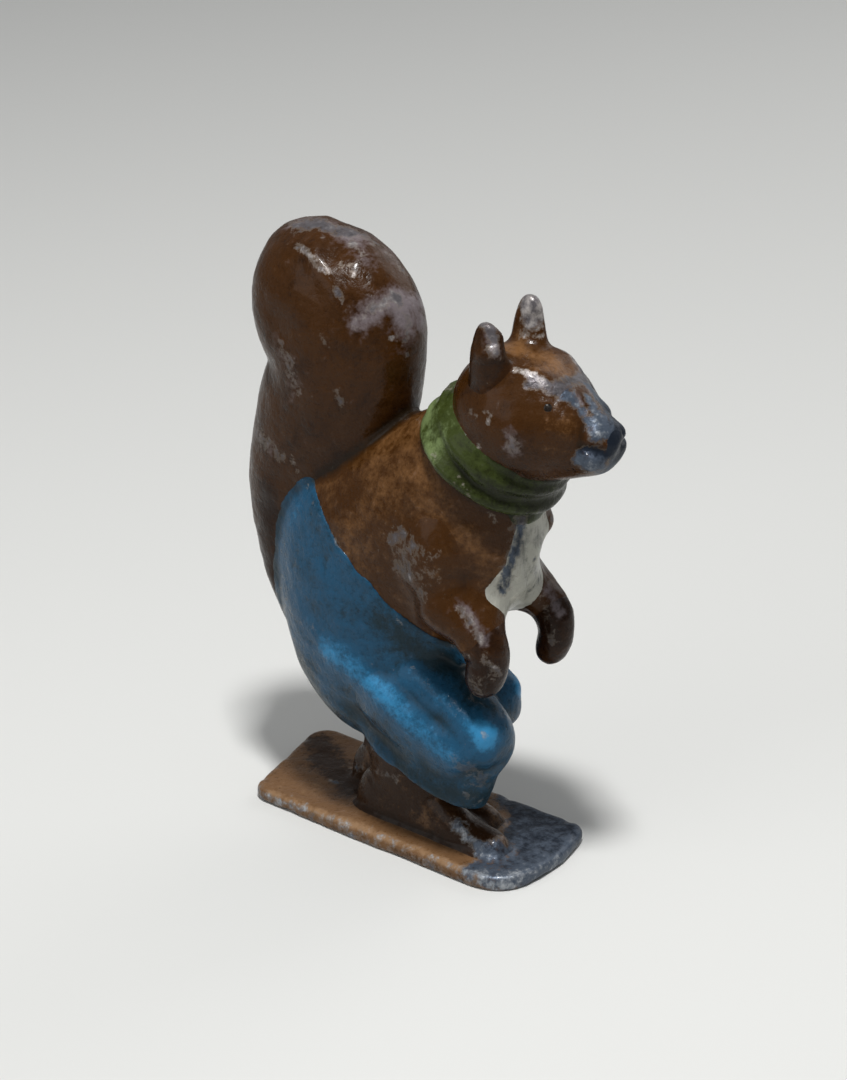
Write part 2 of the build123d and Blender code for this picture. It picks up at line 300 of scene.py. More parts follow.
def distance_along(points, path):
    """How far points are from a path, and how far along it the nearest place is, from 0 to 1."""
    if len(path) == 1:
        return np.linalg.norm(points - path[0], axis=1), np.full(len(points), 0.5)
    best = np.full(len(points), np.inf)
    along = np.zeros(len(points))
    for n in range(len(path) - 1):
        run = path[n + 1] - path[n]
        t = np.clip((points - path[n]) @ run / max(run @ run, tiny), 0, 1)
        gap = np.linalg.norm(points - path[n] - t[:, None] * run, axis=1)
        closer = gap < best
        best[closer] = gap[closer]
        along[closer] = (n + t[closer]) / (len(path) - 1)
    return best, along


# How a stroke fades: its reach in widths, the share of it left at its ends, and how long the ends are
stroke_reach = 2.5
stroke_end_share = 0.3
stroke_taper_share = 0.35


def raise_along(path, width, height):
    """Raises the casting along a path, or sinks it where the height is negative, with soft sides."""
    window = window_round(path.min(0), path.max(0), stroke_reach * width)
    gap, along = distance_along(places_in(window), path)
    change = height * np.exp(-((gap / width) ** 2))
    inward = np.clip(np.minimum(along, 1 - along) / stroke_taper_share, 0, 1)
    change *= stroke_end_share + (1 - stroke_end_share) * inward
    casting[window] -= change.reshape(casting[window].shape).astype(np.float32)


# Strokes of the carving: their positions in the photograph's frame, how wide and how high they are
trouser_strokes = [
    ([(326, 650), (353, 666), (388, 698), (420, 732), (452, 760)], 1.8, 0.60),
    ([(412, 668), (435, 691), (462, 718), (488, 732)], 0.8, 0.50),
    ([(366, 662), (402, 690), (438, 720), (466, 746)], 0.9, -0.30),
    ([(330, 690), (365, 720), (400, 760), (435, 782)], 1.2, -0.40),
    ([(484, 732)], 1.1, 0.55),
    ([(450, 775), (475, 772), (500, 765)], 0.9, -0.50),
]
face_strokes = [
    ([(506, 365), (538, 380), (562, 393)], 1.20, 0.55),
    ([(563, 426)], 1.5, 0.40),
    ([(576, 406), (583, 424), (580, 444), (573, 458)], 0.65, -0.45),
    ([(582, 447), (596, 451), (607, 452)], 0.40, -0.80),
    ([(605, 441)], 0.35, -0.30),
    ([(590, 465)], 1.0, 0.30),
]
paw_strokes = [
    ([(463, 648)], 0.6, 0.45),
    ([(455, 655), (470, 662)], 0.35, -0.35),
    ([(478, 668), (476, 700)], 0.30, -0.35),
    ([(490, 664), (487, 694)], 0.30, -0.35),
]
single_strokes = [
    ([(535, 352)], 2.0, -0.25),
    ([(604, 392)], 1.2, -0.40),
    ([(584, 366)], 2.2, -0.40),
    ([(624, 441)], 1.1, 0.35),
    ([(621, 431)], 0.8, 0.35),
    ([(553, 520)], 1.2, 0.50),
    ([(548, 554)], 1.4, -0.90),
    ([(503, 336)], 0.8, 0.30),
    ([(318, 216)], 2.4, -0.45),
    ([(487, 345), (489, 364)], 1.3, 0.40),
    ([(491, 330), (494, 348)], 0.60, -0.35),
    ([(536, 312), (538, 328)], 0.60, -0.35),
    ([(320, 225), (345, 225), (370, 235)], 4.0, -1.00),
    ([(292, 244), (312, 256), (330, 280), (345, 312)], 1.0, 0.35),
    ([(365, 285), (385, 310), (372, 330)], 1.3, 0.25),
    ([(275, 300), (285, 350)], 2.2, -0.25),
    ([(505, 535), (512, 575), (518, 605)], 0.35, -0.22),
    ([(520, 528), (526, 570), (527, 610)], 0.35, -0.22),
]
for strokes, back in ((trouser_strokes, leg_stride), (face_strokes, 0.0), (paw_strokes, 0.0)):
    for spots, width, height in strokes:
        path = path_at(spots)
        raise_along(path, width, height)
        raise_along(mirrored(path, back), width, height)
for spots, width, height in single_strokes:
    raise_along(path_at(spots), width, height)

# Folds of the scarf, round the neck and shallower in front: level along the neck, sway, depth
scarf_folds = [(-1.20, 0.45, 0.20), (0.10, 0.65, 0.26), (1.25, 0.40, 0.18)]
scarf_fold_width = 0.45
scarf_fold_reach = 0.8
scarf_front_share = 0.3
scarf_smooth_turn = 1.9
scarf_window, scarf_distance = own["scarf"]
scarf_places = places_in(scarf_window) - neck
up_neck = scarf_places @ neck_heading
turn = np.arctan2(scarf_places[:, 0], -scarf_places[:, 1])
near_scarf = np.clip(1 - scarf_distance.ravel() / scarf_fold_reach, 0, 1)
for level, sway, depth in scarf_folds:
    fold = up_neck - level - sway * np.sin(2 * turn + level)
    behind = np.clip(np.abs(turn) / scarf_smooth_turn, scarf_front_share, 1)
    groove = depth * behind * near_scarf * np.exp(-((fold / scarf_fold_width) ** 2))
    casting[scarf_window] += groove.reshape(scarf_distance.shape).astype(np.float32)

# Nicks in the upper edge of the plate
nick_count = 30
nick_widths = (0.25, 0.6)
nick_depths = (0.05, 0.22)
rim_search = 1.0
rim_outset = 0.05
nicks = np.random.default_rng(7)
base_low, base_high = (np.array(corner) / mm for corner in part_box("base_plate"))
base_middle = (base_low + base_high) / 2
base_half = (base_high - base_low) / 2
for angle in nicks.uniform(0, 2 * np.pi, nick_count):
    aim = np.array([cos(angle), sin(angle), 0.0])
    run = np.arange(0, base_half[1] + rim_search, voxel / 2)
    ray = base_middle + run[:, None] * aim
    ray[:, 2] = base_thickness
    window, field = own["base_plate"]
    rim = ray[np.nonzero(sample(field, ray, window) < rim_outset)[0][-1]]
    raise_along(rim[None], nicks.uniform(*nick_widths), -nicks.uniform(*nick_depths))

# Unevenness of the casting and of the thick paint over it: hill size, height
unevenness = [(4.2, 0.13), (1.9, 0.07), (0.9, 0.035)]
skin = np.abs(casting) < carved_depth
skin_places = (np.stack(np.nonzero(skin), axis=1) + low) * voxel
for number, (size, height) in enumerate(unevenness):
    casting[skin] -= (height * lumps(skin_places, size, number)).astype(np.float32)

# The casting softened: against it, creases lie under and ridges above
hollow_reach = 0.7
hollow = blur(casting, hollow_reach)

# How thick each coat lies, so that at a seam one coat covers the other
coats = {
    "base_plate": 0.00,
    "left_foot": 0.03,
    "right_foot": 0.03,
    "trouser_seat": 0.16,
    "left_trouser_leg": 0.17,
    "right_trouser_leg": 0.17,
    "torso": 0.03,
    "shirt_front": 0.01,
    "scarf": 0.12,
    "head": 0.03,
    "muzzle": 0.035,
    "lower_jaw": 0.02,
    "nose": 0.05,
    "left_ear": 0.04,
    "right_ear": 0.04,
    "left_eye": 0.07,
    "right_eye": 0.07,
    "left_arm": 0.04,
    "right_arm": 0.04,
    "left_paw": 0.05,
    "right_paw": 0.05,
    "tail_stem": 0.045,
    "tail_plume": 0.05,
}

# How far a coat runs on under its neighbour, how deep it dives there, and how much its edge wavers
overlap = 0.30
dive = 0.12
edge_wobble = 0.16
edge_wobble_size = 1.9
edge_seed = 100

# The eyes are painted dots
eye_dot = 0.31
eye_edge_slope = 3.0
eye_seen = [(548, 408)]
eye_spots = {"right_eye": path_at(eye_seen)[0], "left_eye": mirrored(path_at(eye_seen))[0]}

# The painted shirt widens downwards, narrows upwards and keeps off the arms
shirt_flare = 2.4
shirt_low = 25.0
shirt_high = 35.0
shirt_arm_gap = 1.0
shirt_arm_share = 0.3
shirt_taper = 1.1
shirt_rise = 12.0


def shirt_edge(window):
    """How much wider the painted shirt is than its solid low down, and how much narrower high up."""
    heights = axes[2][window[2]]
    flare = shirt_flare * np.clip((shirt_high - heights) / (shirt_high - shirt_low), 0, 1)
    beside_arms = np.clip(union(right_arm + left_arm)[window] / shirt_arm_gap - shirt_arm_share, 0, 1)
    taper = shirt_taper * np.clip((heights - shirt_low) / shirt_rise, 0, 1)
    return flare[None, None, :] * beside_arms, taper


def eye_edge(name, window):
    """The distance field of an eye's dot on the skull."""
    field = union(skull)[window]
    from_eye = np.linalg.norm(places_in(window) - eye_spots[name], axis=1).reshape(field.shape)
    return field + (eye_edge_slope * (from_eye - eye_dot)).astype(np.float32)


# Whose paint shows where: the nearest and second nearest solid, with the hand-painted edges wavering
painted = {}
first = np.full(shape, band_width, np.float32)
second = np.full(shape, band_width, np.float32)
nearest = np.full(shape, -1, np.int16)
for index, name in enumerate(names):
    window, field = own[name]
    edge = np.abs(field) < carved_depth
    field = field.copy()
    edge_places = (np.stack(np.nonzero(edge), axis=1) + corner_of(window)) * voxel
    wobble = edge_wobble * lumps(edge_places, edge_wobble_size, edge_seed + index)
    field[edge] += wobble.astype(np.float32)
    if name in eyes:
        field = eye_edge(name, window)
    if name == "shirt_front":
        flare, taper = shirt_edge(window)
        field -= flare.astype(np.float32)
        field += taper.astype(np.float32)
    painted[name] = field
    closer = field < first[window]
    second[window] = np.where(closer, first[window], np.minimum(second[window], field))
    nearest[window][closer] = index
    first[window] = np.minimum(first[window], field)


def largest_part(points, quads):
    """The faces of a surface without loose crumbs: only those that hang together with the most others."""
    label = np.arange(len(points))
    while True:
        least = label[quads].min(axis=1)
        lower = label.copy()
        np.minimum.at(lower, quads.ravel(), np.repeat(least, 4))
        lower = lower[lower]
        if np.array_equal(lower, label):
            break
        label = lower
    kinds, counts = np.unique(label[quads[:, 0]], return_counts=True)
    quads = quads[label[quads[:, 0]] == kinds[np.argmax(counts)]]
    used, renumbered = np.unique(quads, return_inverse=True)
    return points[used], renumbered.reshape(-1, 4)


# The room round a piece, and how its points are settled on the smooth surface
piece_margin = 3.0
settle_steps = 2
settle_share = 0.8


def skin_of(name):
    """One piece of the casting: its points, faces and normals."""
    index = names.index(name)
    box_low, box_high = (np.array(corner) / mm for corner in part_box(name))
    window = window_round(box_low, box_high, piece_margin)
    starts = [own[name][0][a].start for a in range(3)]
    crop = tuple(slice(window[a].start - starts[a], window[a].stop - starts[a]) for a in range(3))
    other = np.where(nearest[window] == index, second[window], first[window])
    cut = (painted[name][crop] - other) / 2
    under = np.clip(cut / overlap, 0, 1)
    surface = casting[window] - coats[name] + dive * under * under
    field = np.maximum(surface, cut - overlap)
    below = np.maximum(-axes[2][window[2]], -skin_depth).astype(np.float32)
    field = np.maximum(field, below[None, None, :])
    for axis in range(3):
        for end in (0, -1):
            rim = [slice(None)] * 3
            rim[axis] = end
            field[tuple(rim)] = np.maximum(field[tuple(rim)], voxel)
    points, triangles, quads = polygons(field, window, 0.0)
    points, quads = largest_part(points.astype(float), quads.astype(int))
    for step in range(settle_steps):
        error = sample(surface, points, window)
        close = np.abs(error) < voxel / 2
        points[close] -= settle_share * error[close, None] * slope(surface, points[close], window)
    points[:, 2] = np.maximum(points[:, 2], 0)
    return points, quads, slope(field, points, window)


# How far a mark's twin on the other side may lie from its mirrored place
mark_scatter = 2.2
mark_places = np.random.default_rng(11)


def both(spots):
    """A path that shows in the photograph, and the same path on the other side."""
    path = path_at(spots)
    return [path, mirrored(path)]


def near(spots):
    """A path that shows in the photograph, on that side only."""
    return [path_at(spots)]


def on_legs(spots):
    """A path on the leg that shows in the photograph, and the same path on the other leg."""
    path = path_at(spots)
    return [path, mirrored(path, leg_stride)]


def scattered(spots):
    """A path that shows in the photograph, and one like it elsewhere on the other side."""
    path = path_at(spots)
    moved = mirrored(path)
    moved[:, 1:] += mark_places.uniform(-mark_scatter, mark_scatter, 2)
    return [path, moved]


# Where paint is lost: the paths in the photograph's frame, how wide, how much, how bright the metal is; a
# few bright marks stand partly for painted highlights and reflections
wear_marks = [
    (near([(482, 322)]), 0.6, 0.75, 0.9),
    (near([(491, 330), (495, 350)]), 0.6, 0.60, 0.5),
    (near([(531, 298), (534, 318)]), 1.2, 0.90, 0.95),
    (both([(523, 335), (541, 337)]), 0.5, 0.40, 1.0),
    # Bright bare metal on the brow, partly a painted highlight
    (both([(515, 369), (530, 374), (543, 380)]), 0.45, 0.60, 1.1),
    (both([(530, 384), (552, 390), (570, 398), (582, 410)]), 0.65, 0.75, 0.5),
    (near([(588, 376), (604, 402), (618, 426)]), 1.4, 1.00, 0.00),
    (near([(562, 384), (582, 380)]), 0.9, 0.75, 0.15),
    (near([(586, 396), (597, 414), (606, 432)]), 0.5, 0.80, 0.75),
    (near([(590, 424), (596, 437)]), 0.7, 0.90, 0.60),
    (near([(621, 434), (622, 448)]), 1.1, 0.90, -0.50),
    (both([(585, 450), (598, 453), (608, 453)]), 0.5, 0.80, -0.80),
    (both([(579, 461), (590, 466), (598, 463)]), 0.8, 0.90, 0.45),
    (near([(603, 472), (614, 463)]), 1.0, 0.90, 0.0),
    (near([(484, 412), (490, 416), (488, 424)]), 0.35, 0.60, 0.9),
    (near([(470, 413), (476, 416)]), 0.35, 0.55, 0.8),
    (scattered([(512, 440), (514, 448)]), 0.8, 0.55, 0.40),
    (near([(479, 445)]), 0.4, 0.60, 1.0),
    (near([(430, 388), (448, 390)]), 0.7, 0.55, 1.0),
    (near([(300, 224), (325, 226), (348, 233)]), 1.3, 0.80, 0.45),
    (near([(370, 240), (400, 268)]), 1.0, 0.45, 0.30),
    (scattered([(297, 246), (312, 258), (328, 272)]), 0.5, 0.55, 0.9),
    (near([(352, 244), (362, 256)]), 0.5, 0.55, 0.9),
    # A painted highlight on the tail, given as bright bare metal
    (near([(343, 264), (355, 273)]), 0.7, 0.45, 1.0),
    (near([(335, 285), (342, 303)]), 0.5, 0.50, 0.6),
    # Bare metal on the tail's right side, partly a painted reflection
    (scattered([(362, 318), (378, 306), (395, 298)]), 0.8, 0.50, 0.70),
    (near([(400, 300), (408, 325), (405, 340)]), 0.7, 0.45, 0.50),
    (near([(391, 338)]), 0.45, 0.70, 0.7),
    (near([(407, 354)]), 0.45, 0.70, 0.7),
    (scattered([(280, 345), (290, 362), (296, 390)]), 1.0, 0.48, 0.35),
    (near([(322, 335), (326, 345)]), 0.6, 0.40, 0.40),
    (near([(336, 393), (343, 402)]), 0.7, 0.50, 0.35),
    (scattered([(255, 428), (270, 445), (283, 458)]), 1.0, 0.50, 0.35),
    (scattered([(392, 540), (402, 533)]), 0.6, 0.25, 0.60),
    (scattered([(414, 546), (432, 556)]), 0.7, 0.25, 0.60),
    (scattered([(398, 565), (410, 580)]), 0.6, 0.25, 0.40),
    (scattered([(410, 577)]), 0.3, 0.60, 1.20),
    (scattered([(402, 545), (416, 578)]), 2.5, 0.46, 0.12),
    (both([(292, 459), (301, 478), (336, 540), (400, 620), (465, 665)]), 0.35, 0.46, 0.9),
    (on_legs([(412, 668), (435, 691), (462, 718)]), 0.45, 0.30, 0.9),
    # Bright bare metal at the knee, partly a painted highlight
    (on_legs([(482, 732), (486, 738)]), 0.4, 0.30, 1.3),
    (on_legs([(460, 762), (480, 778)]), 1.1, 0.55, 0.15),
    (near([(297, 577), (313, 579)]), 0.4, 0.40, 0.5),
    (near([(302, 622), (323, 628)]), 0.5, 0.40, 0.5),
    (on_legs([(465, 793), (478, 800)]), 0.6, 0.45, 0.8),
    (scattered([(462, 612), (472, 624), (482, 638)]), 0.6, 0.55, 0.9),
    (scattered([(455, 645), (468, 656)]), 0.45, 0.55, 1.0),
    (scattered([(485, 658), (498, 672)]), 0.6, 0.50, 0.7),
    (both([(480, 680), (476, 698)]), 1.2, 0.40, 0.0),
    (near([(545, 600), (552, 640)]), 0.7, 0.35, 0.3),
    (near([(519, 522), (517, 545), (508, 570), (502, 590)]), 0.9, 0.85, 0.05),
    (near([(534, 560), (530, 590)]), 0.4, 0.50, 0.00),
    (near([(545, 515), (552, 520)]), 0.8, 0.50, 0.00),
    (both([(417, 418), (434, 456), (469, 490), (496, 521)]), 0.4, 0.40, 0.9),
    (near([(520, 800), (545, 815), (580, 830)]), 2.6, 1.25, -0.15),
    (near([(520, 826), (545, 838)]), 1.8, 0.90, 0.00),
    (near([(510, 838), (528, 848)]), 1.3, 0.80, 0.05),
    (near([(505, 858), (540, 862), (570, 850)]), 2.0, 0.95, 0.12),
    (near([(475, 868), (500, 876), (525, 872), (550, 862)]), 1.0, 0.80, 0.5),
    (scattered([(458, 825), (470, 840), (485, 852)]), 0.8, 0.70, 0.8),
    (near([(269, 796), (349, 824), (417, 849), (471, 874)]), 0.30, 0.16, 0.9),
    (scattered([(350, 764), (375, 770), (397, 777)]), 0.5, 0.45, 0.6),
]

# Scuffs on the sides that the photograph does not show: how many, how wide, how much, how bright
scuff_count = 60
scuff_widths = (0.3, 0.9)
scuff_amounts = (0.30, 0.60)
scuff_brightness = (0.2, 0.9)
turned_away = -0.15
scuffs = np.random.default_rng(23)
surface_places = (np.stack(np.nonzero(np.abs(casting) < voxel / 4), axis=1) + low) * voxel
hidden = slope(casting, surface_places) @ camera_back < turned_away
hidden &= surface_places[:, 2] > base_thickness
hidden_places = surface_places[hidden]
for place in hidden_places[scuffs.integers(0, len(hidden_places), scuff_count)]:
    run = scuffs.uniform(-1, 1, 3)
    scuff = np.array([place, place + run])
    looks = [scuffs.uniform(*span) for span in (scuff_widths, scuff_amounts, scuff_brightness)]
    wear_marks.append(([scuff], *looks))

# Where the paint is lighter or darker, and where light and shade are painted into it: the paths, how
# wide, how much
tone_and_shading_marks = [
    (near([(515, 345), (548, 362)]), 2.2, 0.85),
    (both([(566, 434)]), 1.4, 0.15),
    (both([(380, 430), (405, 460), (430, 500)]), 3.5, 0.24),
    (both([(385, 622), (420, 648), (455, 668)]), 1.5, -0.55),
    (both([(288, 474), (294, 520)]), 1.2, 0.30),
    (both([(428, 412), (438, 438)]), 1.6, 0.75),
    # Painted shade under the chin
    (both([(490, 490), (540, 500)]), 3.2, -0.70),
    # Lighter along the trousers' fold ridges: partly paint worn pale, partly painted highlight; then a
    # painted highlight on the knee and painted shade in the groove between the folds
    (on_legs([(330, 652), (355, 670), (388, 700), (420, 734), (450, 760)]), 1.7, 0.95),
    (on_legs([(412, 668), (435, 691), (462, 718), (488, 732)]), 0.9, 0.45),
    (on_legs([(486, 738)]), 1.5, 1.50),
    (on_legs([(370, 662), (405, 690), (440, 720), (466, 746)]), 0.8, -0.12),
    (both([(300, 500), (290, 560), (310, 620)]), 1.6, 0.25),
    (both([(266, 490), (268, 550), (282, 610), (305, 665), (338, 715)]), 1.4, -0.55),
    (both([(480, 680), (476, 698)]), 2.0, -0.60),
    (near([(270, 280), (290, 320)]), 3.0, 0.25),
    # Painted shadow: the dark patch on the plate behind the foot, where the figure's shadow falls
    (near([(318, 742), (332, 764), (352, 788)]), 1.9, -1.00),
    (near([(269, 796), (349, 824), (417, 849), (471, 874)]), 0.5, 0.70),
]

# How light or dark each piece is as a whole
piece_tones = {
    "torso": 0.20,
    "trouser_seat": -0.28,
    "left_trouser_leg": -0.22,
    "right_trouser_leg": -0.22,
    "tail_plume": -0.25,
    "tail_stem": -0.45,
    "left_foot": -0.85,
    "right_foot": -0.85,
    "left_arm": 0.1,
    "right_arm": 0.0,
    "left_paw": -0.7,
    "right_paw": -0.6,
    "left_ear": -0.2,
    "right_ear": -0.6,
    "head": -0.15,
    "muzzle": -0.1,
}

# Where the paint is rubbed thin and where a sheen is painted: the paths, how wide, how much. The
# violet-grey they give stands partly for paint worn thin over the metal, partly for painted reflections
# and highlights on the glossy paint
thin_paint_and_sheen_marks = [
    (scattered([(360, 322), (376, 308), (396, 300), (400, 318)]), 1.3, 0.74),
    (near([(398, 300), (408, 325), (406, 345)]), 1.2, 0.40),
    (near([(300, 222), (325, 225), (350, 234)]), 1.6, 0.55),
    (near([(350, 240), (364, 258)]), 1.2, 0.45),
    (near([(370, 240), (395, 262)]), 1.4, 0.35),
    (scattered([(278, 345), (290, 365), (296, 392)]), 1.2, 0.32),
    (scattered([(255, 428), (272, 448)]), 1.2, 0.35),
    (near([(491, 332), (496, 352)]), 0.6, 0.75),
    (scattered([(512, 440), (514, 450)]), 0.9, 0.60),
    (both([(462, 606), (474, 624), (484, 640)]), 0.7, 0.65),
    (near([(548, 590), (560, 612)]), 0.7, 0.65),
    (both([(540, 382), (562, 392), (578, 402)]), 0.7, 0.70),
]


# How far a mark reaches, in its own widths
mark_reach = 3


def marks_over(points, marks):
    """How strongly marks lie over points, and the same times each mark's brightness, where it has one."""
    total = np.zeros(len(points))
    weighed = np.zeros(len(points))
    lowest, highest = points.min(0), points.max(0)
    for paths, width, strength, *brightness in marks:
        reach = mark_reach * width
        for path in paths:
            if np.any(path.min(0) - reach > highest) or np.any(path.max(0) + reach < lowest):
                continue
            gap, along = distance_along(points, path)
            amount = strength * np.exp(-((gap / width) ** 2))
            total += amount
            weighed += amount * sum(brightness)
    return total, weighed


# Where a surface counts as a ridge or a crease: how far it stands off the softened casting
ridge_start = 0.10
ridge_span = 0.40
crease_start = 0.02
crease_span = 0.25

# What ridges and creases do to the paint
ridge_wear = 0.30
trouser_ridge_wear = 0.12
ridge_brightness = 0.10
ridge_tone = 0.35
# Creases are darkened as painted shade
crease_shade = 0.5
most_lost = 1.5
common_brightness = 0.35
common_weight = 0.1

# The bare nose, the plate's rubbed edges, and the lower trousers: darker there as painted shade, and
# dirtier
nose_wear = 0.7
nose_dulling = 0.6
base_side_drop = 0.25
base_side_span = 0.3
base_side_wear = 0.16
base_side_tone = 0.5
base_ridge_wear = 0.20
base_ridge_brightness = 0.5
trouser_low = 7.0
trouser_high = 18.0
trouser_low_shade = 0.55
trouser_low_grime = 0.25


def looks_of(name, points):
    """The paint at each point of a piece: how worn, bright, light, dirty and thin it is, its lightness
    holding painted shade and highlights and its thinness painted sheen.
    """
    curve = sample(hollow, points) - coats[name]
    ridge = np.clip((curve - ridge_start) / ridge_span, 0, 1)
    crease = np.clip((-crease_start - curve) / crease_span, 0, 1)
    lost, bright = marks_over(points, wear_marks)
    worn = np.clip(lost, 0, most_lost)
    worn = worn + (trouser_ridge_wear if "trouser" in name else ridge_wear) * ridge
    bright = (bright + common_brightness * common_weight) / (lost + common_weight)
    bright = bright + ridge_brightness * ridge
    tone_and_shading = piece_tones.get(name, 0.0) + marks_over(points, tone_and_shading_marks)[0]
    # Ridges lighter; creases darker as painted shade
    tone_and_shading = tone_and_shading + ridge_tone * ridge - crease_shade * crease
    if name == "nose":
        worn += nose_wear
        bright -= nose_dulling
    if name == "base_plate":
        side = np.clip((base_thickness - base_side_drop - points[:, 2]) / base_side_span, 0, 1)
        worn += base_side_wear * side + base_ridge_wear * ridge
        bright += base_ridge_brightness * ridge
        tone_and_shading -= base_side_tone * side
    # Lower trousers: darker towards the bottom as painted shade, with more dirt in the hollows
    if "trouser" in name:
        lower = np.clip((trouser_high - points[:, 2]) / (trouser_high - trouser_low), 0, 1)
        tone_and_shading -= trouser_low_shade * lower
        crease = crease + trouser_low_grime * lower
    # Paint rubbed thin, and painted sheen: reflections and highlights given as a violet-grey tone
    thin_and_sheen = marks_over(points, thin_paint_and_sheen_marks)[0]
    return {"worn": worn, "bright": bright, "tone_and_shading": tone_and_shading, "grime": crease, "thin_and_sheen": thin_and_sheen}


def add_piece(name):
    """A finished piece that stands for one solid."""
    points, quads, normals = skin_of(name)
    mesh = bpy.data.meshes.new(name + "_skin")
    mesh.vertices.add(len(points))
    mesh.vertices.foreach_set("co", (points * mm).ravel())
    mesh.loops.add(quads.size)
    mesh.loops.foreach_set("vertex_index", quads.ravel().astype(np.int32))
    mesh.polygons.add(len(quads))
    mesh.polygons.foreach_set("loop_start", np.arange(0, quads.size, 4, dtype=np.int32))
    mesh.update(calc_edges=True)
    mesh.validate()
    mesh.shade_smooth()
    mesh.normals_split_custom_set_from_vertices(normals)
    for look, values in looks_of(name, points).items():
        layer = mesh.attributes.new(look, "FLOAT", "POINT")
        layer.data.foreach_set("value", values.astype(np.float32))
    piece = bpy.data.objects.new(name + "_cast", mesh)
    bpy.context.scene.collection.objects.link(piece)
    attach(piece, "root")
    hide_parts(name)
    return piece


def put(tree, kind, inputs, **settings):
    """A shader node with its settings, each input given a value or linked to an output."""
    made = tree.nodes.new("ShaderNode" + kind)
    for key, value in settings.items():
        setattr(made, key, value)
    for key, value in inputs.items():
        if isinstance(value, bpy.types.NodeSocket):
            tree.links.new(value, made.inputs[key])
        else:
            made.inputs[key].default_value = value
    return made


# Noise that is not stretched, and the value about which a noise node varies
even = (1.0, 1.0, 1.0)
noise_middle = 0.5


class Painter:
    """Makes the nodes of one material."""

    def __init__(self, name):
        self.material = bpy.data.materials.new(name)
        self.material.use_nodes = True
        self.tree = self.material.node_tree
        self.shader = self.tree.nodes["Principled BSDF"]
        object_place = put(self.tree, "TexCoord", {}).outputs["Object"]
        scaled = put(self.tree, "VectorMath", {0: object_place, "Scale": 1 / mm}, operation="SCALE")
        self.place = scaled.outputs["Vector"]

    def noise(self, size, detail, roughness, distortion=0.0, stretch=even):
        """Smooth noise about 0, with features of a size in millimetres."""
        at = put(self.tree, "VectorMath", {0: self.place, 1: stretch}, operation="MULTIPLY")
        inputs = {"Vector": at.outputs["Vector"], "Scale": 1 / size, "Detail": detail}
        inputs.update({"Roughness": roughness, "Distortion": distortion})
        made = put(self.tree, "TexNoise", inputs)
        return self.sum(made.outputs[0], -noise_middle)

    def look(self, name):
        """One of the looks that the pieces carry at their points."""
        return put(self.tree, "Attribute", {}, attribute_name=name).outputs["Fac"]

    def sum(self, first, second):
        """Two values added."""
        return put(self.tree, "Math", {0: first, 1: second}, operation="ADD").outputs[0]

    def times(self, first, second):
        """Two values multiplied."""
        return put(self.tree, "Math", {0: first, 1: second}, operation="MULTIPLY").outputs[0]

    def uneven(self, value, noises, weights):
        """A value with noises added to it, each by its weight."""
        for kind, weight in weights.items():
            value = self.sum(value, self.times(noises[kind], weight))
        return value

    def fade(self, value, span, highest=1.0, lowest=0.0):
        """A soft step from the lowest to the highest as the value goes through a span."""
        inputs = {"Value": value, "From Min": span[0], "From Max": span[1]}
        inputs.update({"To Min": lowest, "To Max": highest})
        return put(self.tree, "MapRange", inputs, interpolation_type="SMOOTHSTEP").outputs[0]

    def mix(self, share, first, second):
        """A colour between two colours."""
        colours = [c if isinstance(c, bpy.types.NodeSocket) else (*c, 1.0) for c in (first, second)]
        inputs = {0: share, 6: colours[0], 7: colours[1]}
        return put(self.tree, "Mix", inputs, data_type="RGBA").outputs[2]

    def link(self, value, socket):
        """A value for one of the shader's inputs."""
        self.tree.links.new(value, self.shader.inputs[socket])


# Bare lead from dull to bright, the pale rim of a chip, and the violet-grey of thin paint over the metal,
# which also stands for painted sheen and reflections
blue_lead = ((0.012, 0.017, 0.027), (0.065, 0.082, 0.110), (0.36, 0.38, 0.40))
grey_lead = ((0.022, 0.021, 0.024), (0.100, 0.092, 0.098), (0.38, 0.35, 0.33))
chip_rim = (0.22, 0.18, 0.13)
thin_paint_and_sheen_colour = (0.17, 0.145, 0.155)

# The noises of enamel: size, detail, roughness, distortion
enamel_noises = {
    "broad": (3.2, 3.0, 0.55, 0.0),
    "blotch": (1.1, 3.0, 0.55, 0.0),
    "mottle": (0.55, 4.0, 0.60, 0.0),
    "fine": (0.18, 3.0, 0.60, 0.0),
    "chips": (1.0, 6.0, 0.62, 0.5),
    "specks": (0.30, 2.0, 0.55, 0.0),
}

# How much of each noise goes into the looks of the paint
patch_weights = {"broad": 2.2, "blotch": 1.1}
grain_weights = {"mottle": 0.8, "fine": 0.7}
rubbed_and_sheen_weights = {"blotch": 0.8, "mottle": 0.7}
soil_weights = {"mottle": 1.0}
lost_weights = {"chips": 1.4, "mottle": 0.8, "fine": 0.4}
gleam_weights = {"blotch": 1.2, "mottle": 1.0, "fine": 0.5}
relief_weights = {"blotch": 1.1, "mottle": 0.5, "fine": 0.12}

# Where each look sets in and where it is full
middle_span = (-0.9, 0.0)
light_span = (0.05, 1.0)
rubbed_and_sheen_span = (0.15, 0.95)
soil_span = (0.10, 0.95)
speck_span = (0.18, 0.28)
bare_span = (0.30, 0.85)
rim_rise_span = (0.34, 0.48)
rim_fall_span = (0.48, 0.62)
grey_span = (-0.3, 0.50)
bright_span = (0.50, 1.35)
gloss_span = (-0.2, 0.2)

# How far each look goes
rubbed_and_sheen_share = 0.85
soil_share = 0.8
speck_share = 0.5
rim_share = 0.22
bare_metal_share = 0.40
smooth_roughness = 0.24
brushed_roughness = 0.40
bare_roughness = 0.10
soil_roughness = 0.12
enamel_specular = 0.10
coat_weight = 0.11
coat_roughness = 0.10
bare_relief = -0.35
relief_strength = 0.7
relief_height = 0.12


def scaled_by(weights, factor):
    """Weights multiplied by a factor."""
    return {kind: weight * factor for kind, weight in weights.items()}


